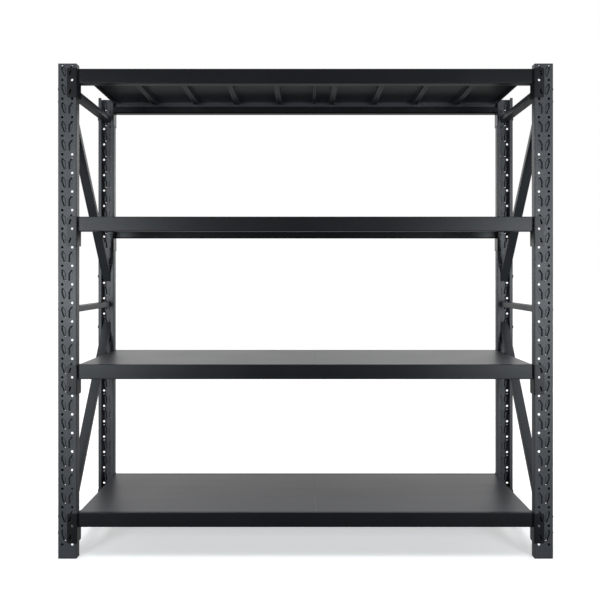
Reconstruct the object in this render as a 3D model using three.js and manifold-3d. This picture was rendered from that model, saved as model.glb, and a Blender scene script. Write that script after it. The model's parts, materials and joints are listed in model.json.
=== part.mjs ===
// Boltless long-span shelving bay: four perforated channel uprights in two braced side frames,
// four levels of hooked step beams, and two ribbed steel deck panels on each level.
// Millimetres. X runs along the bay, -Y is the front, +Z is up, and the origin is the middle of
// the footprint, on the floor.

import * as THREE from 'three';
import { mergeVertices } from 'three/addons/utils/BufferGeometryUtils.js';
import Module from 'manifold-3d';

const wasm = await Module();
wasm.setup();

// Bay
const BAY_WIDTH = 2000;
const BAY_DEPTH = 600;
const BAY_HEIGHT = 2000;
const FIT_GAP = 0.3;

// How far a cutter runs past the face that it enters by, and past the one that it leaves by
const CUT_PAST = 1;
const CUT_THROUGH = 0.2;

// Solids that become one reach this far into each other before they are joined
const WELD_LAP = 1;

// Corners snap to this many steps in a millimetre, so that faces meant to be flush are flush
const GRID = 1024;

// Uprights: lipped channels, with the web outward and the open side towards the bay's middle
const UPRIGHT_WIDTH = 75;
const UPRIGHT_DEPTH = 40;
const UPRIGHT_STEEL = 2;
const UPRIGHT_LIP = 15;
const ROW_PITCH = 75;
const FIRST_ROW_Z = 58;
const ROW_COUNT = 26;
const COLUMN_OFFSET = 20;
const ROUND_HOLE_RADIUS = 5;
const ROUND_HOLE_SIDES = 4;

// A slot's corners: distance from the web's centre line, and height above the row of holes below it
const SLOT_FOOT = 15;
const SLOT_CORNERS = [[5.2, SLOT_FOOT], [13.5, SLOT_FOOT], [23.5, 42], [22.5, 59], [16.5, 60], [5.2, 43]];

// Feet
const FOOT_SOLE = 5;
const FOOT_PLUG_HEIGHT = 22;
const FOOT_PLUG_WALL = 5;
const FOOT_PLUG_START = 1;

// Levels: each beam's top is this far above the row that its connector is centred on
const LEVEL_ROWS = [1, 9, 17, 25];
const BEAM_TOP_ABOVE_ROW = 50;
const BEAM_SETBACK = 12;
const BEAM_HEIGHT = 60;
const BEAM_DEPTH = 38;
const BEAM_STEEL = 2;
const BEAM_LIP = 14;
const LEDGE_DROP = 28;
const SEAM_OPENING = 3;

// Connectors: folded plates with two hooks each
const PLATE_STEEL = 2.5;
const PLATE_HEIGHT = 119;
const PLATE_CORNER = 7;
const PLATE_TOP_DROP = 0.5;
const PLATE_REAR_MARGIN = 1;
const WINDOW_TOP = 38;
const WINDOW_SILL = 0.5;
const WINDOW_WIDTH = 6.6;
const WINDOW_LEAN = 5.5;
const HOOK_WIDTH = 5;
const HOOK_STEEL = 2.4;
const HOOK_CENTRE = 9.3;
const TONGUE_LENGTH = 11;
const TONGUE_GAP = 0.4;

// Decks
const SEAM_X = 40;
const DECK_STEEL = 1.6;
const DECK_SIDE_GAP = 1.5;
const DECK_EDGE_GAP = 0.6;
const RIB_CENTRES = [126, 329, 525, 724];
const RIB_WIDTH = 25;
const RIB_DROP = 18;
const RIB_LAND = 14;
const RIB_END_GAP = 2;
const RIB_WELD_DEPTH = 0.4;

// Side frame bars: rectangular tubes that end inside the uprights
const BAR_WIDTH = 40;
const BAR_HEIGHT = 25;
const BAR_STEEL = 2;
const BAR_END_MARGIN = 10;
const BOLT_INSET = 22;
const TOP_STRUT_Z = 1900;
const MIDDLE_STRUT_Z = 1005;
const BOTTOM_STRUT_Z = 100;
const UPPER_DIAGONAL = { frontZ: 1850, rearZ: 1140 };
const LOWER_DIAGONAL = { frontZ: 165, rearZ: 895 };

// Bolts with their nuts, as tightened
const BOLT_SIDES = 6;
const BOLT_RADIUS = 4;
const BOLT_HOLE_RADIUS = 4.8;
const HEAD_RADIUS = 7.5;
const HEAD_HEIGHT = 5.3;
const NUT_HEIGHT = 6.5;

// Places that several pieces share
const HALF_WIDTH = BAY_WIDTH / 2;
const HALF_DEPTH = BAY_DEPTH / 2;
const WEB_HALF = UPRIGHT_WIDTH / 2;
const UPRIGHT_X = HALF_WIDTH - WEB_HALF;
const INNER_FACE_X = HALF_WIDTH - UPRIGHT_WIDTH;
const PLATE_OUTER_X = INNER_FACE_X - FIT_GAP;
const PLATE_INNER_X = PLATE_OUTER_X - PLATE_STEEL;
const BOLT_Y = HALF_DEPTH - BOLT_INSET;
const BAR_X = UPRIGHT_X;

// The look of each finish
const COLOURS = {
  steel: { color: 0x3a3d41, roughness: 0.5, metalness: 0.3 },
  deck: { color: 0x55585e, roughness: 0.45, metalness: 0.3 },
  plastic: { color: 0x16171a, roughness: 0.6, metalness: 0 },
  zinc: { color: 0x2a2b2e, roughness: 0.4, metalness: 0.8 },
};

const bay = new THREE.Group();

/** Turns a closed three.js geometry into a solid that can be joined and cut. */
function solidOf(geometry) {
  geometry.deleteAttribute('normal');
  geometry.deleteAttribute('uv');
  const merged = mergeVertices(geometry, 1e-4);
  const vertProperties = merged.attributes.position.array.map((value) => Math.round(value * GRID) / GRID);
  const triVerts = new Uint32Array(merged.index.array);
  return new wasm.Manifold(new wasm.Mesh({ numProp: 3, vertProperties, triVerts }));
}

/** Adds a solid to the bay as a mesh with its own material. */
function addNode(name, solid, look) {
  const mesh = solid.getMesh();
  const geometry = new THREE.BufferGeometry();
  geometry.setAttribute('position', new THREE.BufferAttribute(mesh.vertProperties, 3));
  geometry.setIndex(new THREE.BufferAttribute(mesh.triVerts, 1));
  geometry.computeVertexNormals();
  const node = new THREE.Mesh(geometry, new THREE.MeshStandardMaterial(COLOURS[look]));
  node.name = name;
  bay.add(node);
}

/** Extrudes an outline of [u, v] points by depth along the third axis of the given basis. */
function prism(points, depth, uAxis, vAxis, wAxis, start) {
  const shape = new THREE.Shape(points.map(([u, v]) => new THREE.Vector2(u, v)));
  const geometry = new THREE.ExtrudeGeometry(shape, { depth, bevelEnabled: false });
  const turn = new THREE.Matrix4().makeBasis(uAxis, vAxis, wAxis);
  geometry.applyMatrix4(turn);
  geometry.translate(...start);
  return solidOf(geometry);
}

// The axes, for turning an extrusion
const X = new THREE.Vector3(1, 0, 0);
const Y = new THREE.Vector3(0, 1, 0);
const Z = new THREE.Vector3(0, 0, 1);

/** A prism between two values of X, from a [y, z] outline. */
function prismX(points, xa, xb) {
  return prism(points, Math.abs(xb - xa), Y, Z, X, [Math.min(xa, xb), 0, 0]);
}

/** A prism between two values of Y, from an [x, z] outline. */
function prismY(points, ya, yb) {
  return prism(points, Math.abs(yb - ya), X, Z, Y.clone().negate(), [0, Math.max(ya, yb), 0]);
}

/** A prism between two values of Z, from an [x, y] outline. */
function prismZ(points, za, zb) {
  return prism(points, Math.abs(zb - za), X, Y, Z, [0, 0, Math.min(za, zb)]);
}

/** A box between two values on each axis, given in either order. */
function box([xa, xb], [ya, yb], [za, zb]) {
  const geometry = new THREE.BoxGeometry(Math.abs(xb - xa), Math.abs(yb - ya), Math.abs(zb - za));
  geometry.translate((xa + xb) / 2, (ya + yb) / 2, (za + zb) / 2);
  return solidOf(geometry);
}

/** A regular polygon's corners about a centre. */
function polygon(u, v, radius, sides = BOLT_SIDES) {
  return Array.from({ length: sides }, (_, index) => {
    const angle = (index / sides) * 2 * Math.PI;
    return [u + radius * Math.cos(angle), v + radius * Math.sin(angle)];
  });
}

/** Maps distances from an upright's web centre and outer face to X and Y in one corner. */
function corner(side, end) {
  return {
    x: (towardsBay) => side * (UPRIGHT_X - towardsBay),
    y: (inward) => end * (HALF_DEPTH - inward),
  };
}

// The four corners are every pair of a side and an end
const SIDES = [
  { name: 'left', side: -1 },
  { name: 'right', side: 1 },
];
const ENDS = [
  { name: 'front', end: -1 },
  { name: 'rear', end: 1 },
];

/** The height of a row of round holes. */
function rowZ(row) {
  return FIRST_ROW_Z + row * ROW_PITCH;
}

/** A slot's outline. The inner column leans towards the bay, and the outer one is its mirror. */
function slotOutline(at, column, row) {
  return SLOT_CORNERS.map(([across, up]) => [at.x(column * across), rowZ(row) + up]);
}

/** An upright: a lipped channel with two columns of round holes and slots, and its bolt holes. */
function upright(side, end) {
  const at = corner(side, end);
  const lip = WEB_HALF - UPRIGHT_LIP;
  const wall = WEB_HALF - UPRIGHT_STEEL;
  const back = UPRIGHT_DEPTH - UPRIGHT_STEEL;
  const half = [
    [WEB_HALF, 0],
    [WEB_HALF, UPRIGHT_DEPTH],
    [lip, UPRIGHT_DEPTH],
    [lip, back],
    [wall, back],
    [wall, UPRIGHT_STEEL],
  ];
  const mirrored = half.map(([across, inward]) => [-across, inward]).reverse();
  const section = [...half, ...mirrored].map(([across, inward]) => [at.x(across), at.y(inward)]);
  let channel = prismZ(section, FOOT_SOLE, BAY_HEIGHT);
  const cutFrom = at.y(-CUT_PAST);
  const cutTo = at.y(UPRIGHT_STEEL + CUT_PAST);
  for (let row = 0; row < ROW_COUNT; row += 1) {
    for (const column of [-1, 1]) {
      const centreX = at.x(column * COLUMN_OFFSET);
      const round = polygon(centreX, rowZ(row), ROUND_HOLE_RADIUS, ROUND_HOLE_SIDES);
      channel = channel.subtract(prismY(round, cutFrom, cutTo));
      channel = channel.subtract(prismY(slotOutline(at, column, row), cutFrom, cutTo));
    }
  }
  for (const z of boltHeights(end)) {
    const hole = polygon(end * BOLT_Y, z, BOLT_HOLE_RADIUS);
    channel = channel.subtract(prismX(hole, at.x(-WEB_HALF - CUT_PAST), at.x(-wall + CUT_PAST)));
  }
  return channel;
}

/** A plastic foot: a sole under the upright, and a hollow plug that stands up inside it. */
function foot(side, end) {
  const at = corner(side, end);
  const reach = WEB_HALF - UPRIGHT_STEEL - FIT_GAP;
  const mouth = UPRIGHT_STEEL + FIT_GAP;
  const depth = UPRIGHT_DEPTH - UPRIGHT_STEEL - FIT_GAP;
  const sole = box(
    [at.x(-WEB_HALF), at.x(WEB_HALF)],
    [at.y(0), at.y(UPRIGHT_DEPTH)],
    [0, FOOT_SOLE - FIT_GAP],
  );
  const plug = box(
    [at.x(-reach), at.x(reach)],
    [at.y(mouth), at.y(depth)],
    [FOOT_PLUG_START, FOOT_PLUG_HEIGHT],
  );
  const hollow = box(
    [at.x(FOOT_PLUG_WALL - reach), at.x(reach - FOOT_PLUG_WALL)],
    [at.y(mouth + FOOT_PLUG_WALL), at.y(depth - FOOT_PLUG_WALL)],
    [FOOT_SOLE, FOOT_PLUG_HEIGHT + CUT_PAST],
  );
  return sole.add(plug).subtract(hollow);
}

/** Heights of the brace bolts in the uprights of one end. */
function boltHeights(end) {
  const key = end < 0 ? 'frontZ' : 'rearZ';
  return [TOP_STRUT_Z, UPPER_DIAGONAL[key], MIDDLE_STRUT_Z, LOWER_DIAGONAL[key], BOTTOM_STRUT_Z];
}

/** A tube between its two bolts, which stand at the given heights in the front and rear. */
function bar(side, frontZ, rearZ) {
  const run = 2 * BOLT_Y;
  const rise = rearZ - frontZ;
  const angle = Math.atan2(rise, run);
  const half = Math.hypot(run, rise) / 2 + BAR_END_MARGIN;
  const outer = rectangle(half, BAR_HEIGHT / 2);
  const inner = rectangle(half + CUT_PAST, BAR_HEIGHT / 2 - BAR_STEEL);
  const middleZ = (frontZ + rearZ) / 2;
  const turned = (points) => points.map(([along, up]) => [
    along * Math.cos(angle) - up * Math.sin(angle),
    middleZ + along * Math.sin(angle) + up * Math.cos(angle),
  ]);
  const near = side * (BAR_X - BAR_WIDTH / 2);
  const far = side * (BAR_X + BAR_WIDTH / 2);
  let tube = prismX(turned(outer), near, far);
  tube = tube.subtract(prismX(turned(inner), near + side * BAR_STEEL, far - side * BAR_STEEL));
  for (const [y, z] of [[-BOLT_Y, frontZ], [BOLT_Y, rearZ]]) {
    const hole = polygon(y, z, BOLT_HOLE_RADIUS);
    tube = tube.subtract(prismX(hole, near - side * CUT_PAST, far + side * CUT_PAST));
  }
  return tube;
}

/** A rectangle about the origin, as [along, up] corners. */
function rectangle(halfLength, halfHeight) {
  return [
    [-halfLength, -halfHeight],
    [halfLength, -halfHeight],
    [halfLength, halfHeight],
    [-halfLength, halfHeight],
  ];
}

/** A bolt from outside the upright, through the tube, to the nut on the tube's inner side. */
function boltAndNut(side, y, z) {
  const headFace = HALF_WIDTH + FIT_GAP;
  const nutFace = BAR_X - BAR_WIDTH / 2 - FIT_GAP;
  const head = prismX(polygon(y, z, HEAD_RADIUS), side * headFace, side * (headFace + HEAD_HEIGHT));
  const shankFrom = side * (headFace + WELD_LAP);
  const shankTo = side * (nutFace - WELD_LAP);
  const shank = prismX(polygon(y, z, BOLT_RADIUS), shankFrom, shankTo);
  const nut = prismX(polygon(y, z, HEAD_RADIUS), side * nutFace, side * (nutFace - NUT_HEIGHT));
  return head.add(shank).add(nut);
}

/** A step beam: a closed-looking section with a lip, a ledge for the decks and an open seam. */
function stepBeam(end, topZ) {
  const back = BEAM_DEPTH;
  const inside = back - BEAM_STEEL;
  const low = -BEAM_HEIGHT;
  const outline = [
    [0, 0],
    [BEAM_LIP, 0],
    [BEAM_LIP, -LEDGE_DROP],
    [back, -LEDGE_DROP],
    [back, low + BEAM_STEEL + SEAM_OPENING],
    [inside, low + BEAM_STEEL + SEAM_OPENING],
    [inside, -LEDGE_DROP - BEAM_STEEL],
    [BEAM_LIP - BEAM_STEEL, -LEDGE_DROP - BEAM_STEEL],
    [BEAM_LIP - BEAM_STEEL, -BEAM_STEEL],
    [BEAM_STEEL, -BEAM_STEEL],
    [BEAM_STEEL, low + BEAM_STEEL],
    [back, low + BEAM_STEEL],
    [back, low],
    [0, low],
  ];
  const section = outline.map(([inward, up]) => [end * (HALF_DEPTH - BEAM_SETBACK - inward), topZ + up]);
  return prismX(section, -PLATE_INNER_X - WELD_LAP, PLATE_INNER_X + WELD_LAP);
}

/** The folded plate and its two hooks at one end of a beam. */
function connector(side, end, row) {
  const at = corner(side, end);
  const topZ = rowZ(row) + BEAM_TOP_ABOVE_ROW - PLATE_TOP_DROP;
  const lowZ = topZ - PLATE_HEIGHT;
  const outer = -FIT_GAP - PLATE_STEEL;
  const inner = -FIT_GAP;
  const fold = WEB_HALF + FIT_GAP + PLATE_STEEL;
  const rearEdge = BEAM_SETBACK + BEAM_DEPTH + PLATE_REAR_MARGIN;
  const section = [
    [0, outer],
    [fold, outer],
    [fold, rearEdge],
    [fold - PLATE_STEEL, rearEdge],
    [fold - PLATE_STEEL, inner],
    [0, inner],
  ].map(([across, inward]) => [at.x(across), at.y(inward)]);
  const cutFrom = at.y(outer - CUT_PAST);
  const cutTo = at.y(inner + CUT_THROUGH);
  const sideFrom = at.x(fold + CUT_PAST);
  const sideTo = at.x(fold - PLATE_STEEL - CUT_THROUGH);
  let plate = prismZ(section, lowZ, topZ);
  for (const [z, up] of [[topZ, 1], [lowZ, -1]]) {
    const frontCorner = cornerTriangle(at.x(0), -side, z, up);
    const sideCorner = cornerTriangle(at.y(rearEdge), -end, z, up);
    plate = plate.subtract(prismY(frontCorner, cutFrom, cutTo));
    plate = plate.subtract(prismX(sideCorner, sideFrom, sideTo));
  }
  const sight = polygon(at.x(COLUMN_OFFSET), rowZ(row), ROUND_HOLE_RADIUS);
  plate = plate.subtract(prismY(sight, cutFrom, cutTo));
  for (const rowBelow of [row, row - 1]) {
    const bearing = rowZ(rowBelow) + SLOT_FOOT + FIT_GAP;
    const neckTop = bearing + HOOK_STEEL;
    const window = [
      [HOOK_CENTRE - WINDOW_WIDTH / 2, neckTop + WINDOW_SILL],
      [HOOK_CENTRE + WINDOW_WIDTH / 2, neckTop + WINDOW_SILL],
      [HOOK_CENTRE + WINDOW_WIDTH / 2 + WINDOW_LEAN, rowZ(rowBelow) + WINDOW_TOP],
      [HOOK_CENTRE - WINDOW_WIDTH / 2 + WINDOW_LEAN, rowZ(rowBelow) + WINDOW_TOP],
    ].map(([across, z]) => [at.x(across), z]);
    plate = plate.subtract(prismY(window, cutFrom, cutTo));
    plate = plate.add(hook(at, bearing, neckTop));
  }
  return plate;
}

/** The triangle that trims a plate's corner, where its free edge meets its top or bottom. */
function cornerTriangle(freeEdge, outward, z, up) {
  return [
    [freeEdge - outward * PLATE_CORNER, z + up * CUT_PAST],
    [freeEdge + outward * CUT_PAST, z - up * PLATE_CORNER],
    [freeEdge + outward * CUT_PAST, z + up * CUT_PAST],
  ];
}

/** A hook: a neck through the slot, resting on its foot, and a tongue down behind the web. */
function hook(at, bearing, neckTop) {
  const tongueNear = UPRIGHT_STEEL + TONGUE_GAP;
  const tongueFar = tongueNear + HOOK_STEEL;
  const profile = [
    [-FIT_GAP - PLATE_STEEL / 2, bearing],
    [tongueNear, bearing],
    [tongueNear, bearing - TONGUE_LENGTH],
    [tongueFar, bearing - TONGUE_LENGTH],
    [tongueFar, neckTop],
    [-FIT_GAP - PLATE_STEEL / 2, neckTop],
  ].map(([inward, z]) => [at.y(inward), z]);
  return prismX(profile, at.x(HOOK_CENTRE - HOOK_WIDTH / 2), at.x(HOOK_CENTRE + HOOK_WIDTH / 2));
}

/** A beam with a connector welded on at each end. */
function beam(end, row) {
  const topZ = rowZ(row) + BEAM_TOP_ABOVE_ROW;
  const ends = SIDES.map(({ side }) => connector(side, end, row));
  return ends.reduce((joined, plate) => joined.add(plate), stepBeam(end, topZ));
}

/** A deck panel: a plate with turned-down front and rear edges and hat ribs welded below it. */
function deckPanel(fromX, toX, topZ) {
  const edgeY = HALF_DEPTH - BEAM_SETBACK - BEAM_LIP - DECK_EDGE_GAP;
  const underside = topZ - DECK_STEEL;
  const lowZ = topZ - LEDGE_DROP + FIT_GAP;
  const skin = [
    [-edgeY, lowZ],
    [-edgeY, topZ],
    [edgeY, topZ],
    [edgeY, lowZ],
    [edgeY - DECK_STEEL, lowZ],
    [edgeY - DECK_STEEL, underside],
    [DECK_STEEL - edgeY, underside],
    [DECK_STEEL - edgeY, lowZ],
  ];
  let panel = prismX(skin, fromX, toX);
  const ribEnd = HALF_DEPTH - BEAM_SETBACK - BEAM_DEPTH - RIB_END_GAP;
  const ribs = RIB_CENTRES.map((centre) => (fromX < 0 ? -centre : centre));
  for (const centre of ribs) {
    panel = panel.add(prismY(ribSection(centre, underside), -ribEnd, ribEnd));
  }
  return panel;
}

/** A rib's section: two flanges against the deck's underside and a trough hanging between them. */
function ribSection(centre, underside) {
  const land = RIB_WIDTH / 2 + RIB_LAND / 2;
  const web = RIB_WIDTH / 2;
  const t = DECK_STEEL;
  const weld = underside + RIB_WELD_DEPTH;
  const half = [
    [land, weld],
    [land, underside - t],
    [web, underside - t],
    [web, underside - RIB_DROP],
  ];
  const trough = [
    [web - t, underside - RIB_DROP + t],
    [web - t, weld],
  ];
  const right = half.map(([across, z]) => [centre + across, z]);
  const left = half.map(([across, z]) => [centre - across, z]).reverse();
  const insideLeft = trough.map(([across, z]) => [centre - across, z]).reverse();
  const insideRight = trough.map(([across, z]) => [centre + across, z]);
  return [...right, ...left, ...insideLeft, ...insideRight];
}

for (const { name: sideName, side } of SIDES) {
  for (const { name: endName, end } of ENDS) {
    addNode(`upright_${endName}_${sideName}`, upright(side, end), 'steel');
    addNode(`foot_${endName}_${sideName}`, foot(side, end), 'plastic');
    boltHeights(end).forEach((z, index) => {
      const bolt = boltAndNut(side, end * BOLT_Y, z);
      addNode(`brace_bolt_${endName}_${sideName}_${index + 1}`, bolt, 'zinc');
    });
  }
  addNode(`strut_top_${sideName}`, bar(side, TOP_STRUT_Z, TOP_STRUT_Z), 'steel');
  addNode(`strut_middle_${sideName}`, bar(side, MIDDLE_STRUT_Z, MIDDLE_STRUT_Z), 'steel');
  addNode(`strut_bottom_${sideName}`, bar(side, BOTTOM_STRUT_Z, BOTTOM_STRUT_Z), 'steel');
  addNode(`diagonal_upper_${sideName}`, bar(side, UPPER_DIAGONAL.frontZ, UPPER_DIAGONAL.rearZ), 'steel');
  addNode(`diagonal_lower_${sideName}`, bar(side, LOWER_DIAGONAL.frontZ, LOWER_DIAGONAL.rearZ), 'steel');
}

LEVEL_ROWS.forEach((row, index) => {
  const level = index + 1;
  const topZ = rowZ(row) + BEAM_TOP_ABOVE_ROW;
  const deckEnd = PLATE_INNER_X - DECK_SIDE_GAP;
  for (const { name: endName, end } of ENDS) {
    addNode(`beam_${endName}_${level}`, beam(end, row), 'steel');
  }
  addNode(`deck_left_${level}`, deckPanel(-deckEnd, SEAM_X - FIT_GAP, topZ), 'deck');
  addNode(`deck_right_${level}`, deckPanel(SEAM_X + FIT_GAP, deckEnd, topZ), 'deck');
});

export default bay;
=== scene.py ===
"""Boltless long-span shelving bay, dressed in steel, powder coat and moulded plastic.

Metres. X runs along the bay, -Y is the front and +Z is up. Every piece takes its place from the frame.
"""

import json
import logging
import math
from collections.abc import Callable, Iterable, Iterator, Sequence
from contextlib import contextmanager
from dataclasses import dataclass, field
from enum import Enum

import bmesh
import bpy
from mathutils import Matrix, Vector


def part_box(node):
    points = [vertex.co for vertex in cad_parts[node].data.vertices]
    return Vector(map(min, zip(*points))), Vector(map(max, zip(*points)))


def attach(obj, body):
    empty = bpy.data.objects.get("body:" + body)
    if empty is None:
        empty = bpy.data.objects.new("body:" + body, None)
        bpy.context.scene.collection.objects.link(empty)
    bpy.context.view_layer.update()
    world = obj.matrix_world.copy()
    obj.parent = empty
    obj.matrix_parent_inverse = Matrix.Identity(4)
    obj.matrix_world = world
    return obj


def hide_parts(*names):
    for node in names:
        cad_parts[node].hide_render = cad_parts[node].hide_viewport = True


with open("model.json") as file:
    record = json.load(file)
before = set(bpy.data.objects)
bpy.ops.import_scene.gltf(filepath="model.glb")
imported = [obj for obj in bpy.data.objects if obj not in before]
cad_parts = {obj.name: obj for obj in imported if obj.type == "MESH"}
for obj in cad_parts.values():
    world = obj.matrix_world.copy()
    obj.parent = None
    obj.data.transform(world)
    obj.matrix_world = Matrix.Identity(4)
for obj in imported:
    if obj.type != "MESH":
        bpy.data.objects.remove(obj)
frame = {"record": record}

MM = 0.001
LOG = logging.getLogger("shelving")
Piece = bpy.types.Object
Tree = bpy.types.NodeTree
Socket = bpy.types.NodeSocket
Edge = bmesh.types.BMEdge
Point = tuple[float, float]
Outline = Sequence[Point]

SIDES = {"left": -1, "right": 1}
ENDS = {"front": -1, "rear": 1}
LEVELS = (1, 2, 3, 4)
SNAP = 0.02 * MM
ALONG = 0.99
FOLD = 0.1
SMOOTH = math.radians(32)


class Run(Enum):
    """The axis that a section runs along, with the turn that brings it there from Z.

    A section's two coordinates are the axes that follow the run: (Y, Z) for X, (Z, X) for Y and (X, Y) for Z.
    """

    X = (math.pi / 2, 0.0, math.pi / 2)
    Y = (-math.pi / 2, -math.pi / 2, 0.0)
    Z = (0.0, 0.0, 0.0)


class Element(Enum):
    """A kind of mesh element, with its select mode."""

    VERTS = "VERT"
    EDGES = "EDGE"
    FACES = "FACE"


class Boolean(Enum):
    """How one piece is combined with another."""

    CUT = "DIFFERENCE"
    WELD = "UNION"


# Modelling


def pick(*pieces: Piece) -> None:
    """Selects these pieces and nothing else, and makes the first one active."""
    bpy.ops.object.select_all(action="DESELECT")
    for piece in pieces:
        piece.select_set(True)
    bpy.context.view_layer.objects.active = pieces[0]


def settle(piece: Piece) -> None:
    """Puts a piece's place, turn and scale into its mesh."""
    pick(piece)
    bpy.ops.object.transform_apply(location=True, rotation=True, scale=True)


def choose(piece: Piece, element: Element, test: Callable[..., bool]) -> None:
    """Selects the elements that pass a test, in edit mode.

    Args:
        piece: The piece, which is in edit mode.
        element: The kind of element.
        test: Takes an element and says whether it is selected.
    """
    bpy.ops.mesh.select_mode(type=element.value)
    bpy.ops.mesh.select_all(action="DESELECT")
    mesh = bmesh.from_edit_mesh(piece.data)
    for part in getattr(mesh, element.name.lower()):
        if test(part):
            part.select_set(True)
    bmesh.update_edit_mesh(piece.data)


@contextmanager
def editing(piece: Piece) -> Iterator[None]:
    """Opens a piece in edit mode, and closes it afterwards."""
    pick(piece)
    bpy.ops.object.mode_set(mode="EDIT")
    yield
    bpy.ops.object.mode_set(mode="OBJECT")


def push(step: Sequence[float]) -> None:
    """Extrudes what is selected by a step."""
    bpy.ops.mesh.extrude_region_move(TRANSFORM_OT_translate={"value": tuple(step)})


def face_out(piece: Piece) -> None:
    """Turns a piece's faces outwards."""
    with editing(piece):
        bpy.ops.mesh.select_all(action="SELECT")
        bpy.ops.mesh.normals_make_consistent(inside=False)


def modify(piece: Piece, kind: str, **settings: object) -> None:
    """Adds a modifier with these settings and applies it."""
    pick(piece)
    modifier = piece.modifiers.new(kind.title(), kind)
    for setting, value in settings.items():
        setattr(modifier, setting, value)
    bpy.ops.object.modifier_apply(modifier=modifier.name)


def soften(piece: Piece, width: float, segments: int = 1, angle: float = 40.0) -> None:
    """Rounds the edges that turn by more than an angle, as a coat of paint or a mould does."""
    limit = math.radians(angle)
    modify(piece, "BEVEL", width=width, segments=segments, limit_method="ANGLE", angle_limit=limit)


def repeat(piece: Piece, count: int, step: Sequence[float], **settings: object) -> None:
    """Repeats a piece in even steps."""
    modify(
        piece,
        "ARRAY",
        count=count,
        use_relative_offset=False,
        use_constant_offset=True,
        constant_offset_displace=step,
        **settings,
    )


def join(pieces: Sequence[Piece]) -> Piece:
    """Joins pieces into the first one's mesh and returns it."""
    if len(pieces) > 1:
        pick(*pieces)
        bpy.ops.object.join()
    return pieces[0]


def combine(piece: Piece, tools: Sequence[Piece], how: Boolean) -> Piece:
    """Cuts a piece with others, or welds them to it, and removes them.

    Args:
        piece: The piece that is kept.
        tools: The pieces that cut it or are welded on.
        how: Which of the two.

    Returns:
        The piece.
    """
    tool = join(list(tools))
    modify(piece, "BOOLEAN", object=tool, operation=how.value, solver="EXACT")
    bpy.data.objects.remove(tool)
    return piece


def copy_of(
    piece: Piece, name: str, mirror: Sequence[int] = (1, 1, 1), move: Sequence[float] = (0, 0, 0)
) -> Piece:
    """Copies a piece with a mesh of its own.

    Args:
        piece: The piece to copy.
        name: The copy's name.
        mirror: 1 or -1 for each axis.
        move: The step to the copy, after the mirroring.

    Returns:
        The copy.
    """
    pick(piece)
    bpy.ops.object.duplicate()
    copy = bpy.context.object
    copy.name = name
    copy.scale = mirror
    copy.location = move
    settle(copy)
    if math.prod(mirror) < 0:
        face_out(copy)
    return copy


def four_corners(first: Piece, node: str, name: str) -> dict[str, Piece]:
    """Mirrors a front left piece to the bay's other three corners.

    Args:
        first: The front left piece.
        node: How the nodes' names start.
        name: How the pieces' names start.

    Returns:
        The four pieces by the name of the node that each stands for.
    """
    first.name = f"{name}_front_left"
    made = {f"{node}_front_left": first}
    for end, along_y in ENDS.items():
        for side, along_x in SIDES.items():
            if (end, side) != ("front", "left"):
                made[f"{node}_{end}_{side}"] = copy_of(first, f"{name}_{end}_{side}", (-along_x, -along_y, 1))
    return made


def folded(name: str, run: Run, span: Point, path: Outline, steel: float, bend: float) -> Piece:
    """Folds a strip of sheet steel along a path, with a round bend at each corner.

    Args:
        name: The piece's name.
        run: The axis that the bends run along.
        span: Where the strip starts and ends along that axis.
        path: One face of the section, walked with the steel on its right, seen against the run.
        steel: The sheet's thickness.
        bend: The radius of the bends on that face.

    Returns:
        The piece, a closed solid.
    """
    first, second = Vector(path[0]), Vector(path[1])
    middle, along = (first + second) / 2, second - first
    bpy.ops.mesh.primitive_plane_add(
        size=1,
        location=(middle.x, middle.y, sum(span) / 2),
        rotation=(math.pi / 2, 0, math.atan2(along.y, along.x)),
    )
    piece = bpy.context.object
    piece.name = name
    piece.scale = (along.length, span[1] - span[0], 1)
    settle(piece)
    with editing(piece):
        choose(piece, Element.EDGES, lambda edge: all((v.co.xy - second).length < SNAP for v in edge.verts))
        for near, far in zip(path[1:], path[2:]):
            push((far[0] - near[0], far[1] - near[1], 0))
        if bend > 0:
            choose(piece, Element.EDGES, lambda edge: not edge.is_boundary and edge.calc_face_angle() > FOLD)
            bpy.ops.mesh.bevel(offset=bend, segments=3, affect="EDGES")
    modify(piece, "SOLIDIFY", thickness=steel, offset=1, use_even_offset=True)
    piece.rotation_euler = run.value
    settle(piece)
    face_out(piece)
    return piece


def flat(name: str, corners: Sequence[Vector]) -> Piece:
    """Cuts a flat face with these corners.

    Args:
        name: The piece's name.
        corners: The corners, in order.

    Returns:
        The piece, which is a single face.
    """
    bpy.ops.mesh.primitive_circle_add(vertices=len(corners), radius=1, fill_type="NGON")
    piece = bpy.context.object
    piece.name = name
    starts = [vertex.co.copy() for vertex in piece.data.vertices]
    with editing(piece):
        for index, (start, corner) in enumerate(zip(starts, corners)):
            choose(piece, Element.VERTS, lambda vertex, index=index: vertex.index == index)
            bpy.ops.transform.translate(value=corner - start)
    return piece


def slab(name: str, run: Run, span: Point, corners: Outline, rounding: float = 0.0) -> Piece:
    """Pushes a flat outline along an axis.

    Args:
        name: The piece's name.
        run: The axis that the outline is pushed along.
        span: Where it starts and ends.
        corners: The outline's corners, in order.
        rounding: How far back from each corner it is rounded.

    Returns:
        The piece, a closed solid.
    """
    piece = flat(name, [Vector((*corner, span[0])) for corner in corners])
    with editing(piece):
        if rounding > 0:
            bpy.ops.mesh.select_all(action="SELECT")
            bpy.ops.mesh.bevel(offset=rounding, segments=3, affect="VERTICES")
        choose(piece, Element.FACES, lambda face: True)
        push((0, 0, span[1] - span[0]))
    piece.rotation_euler = run.value
    settle(piece)
    face_out(piece)
    return piece


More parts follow.
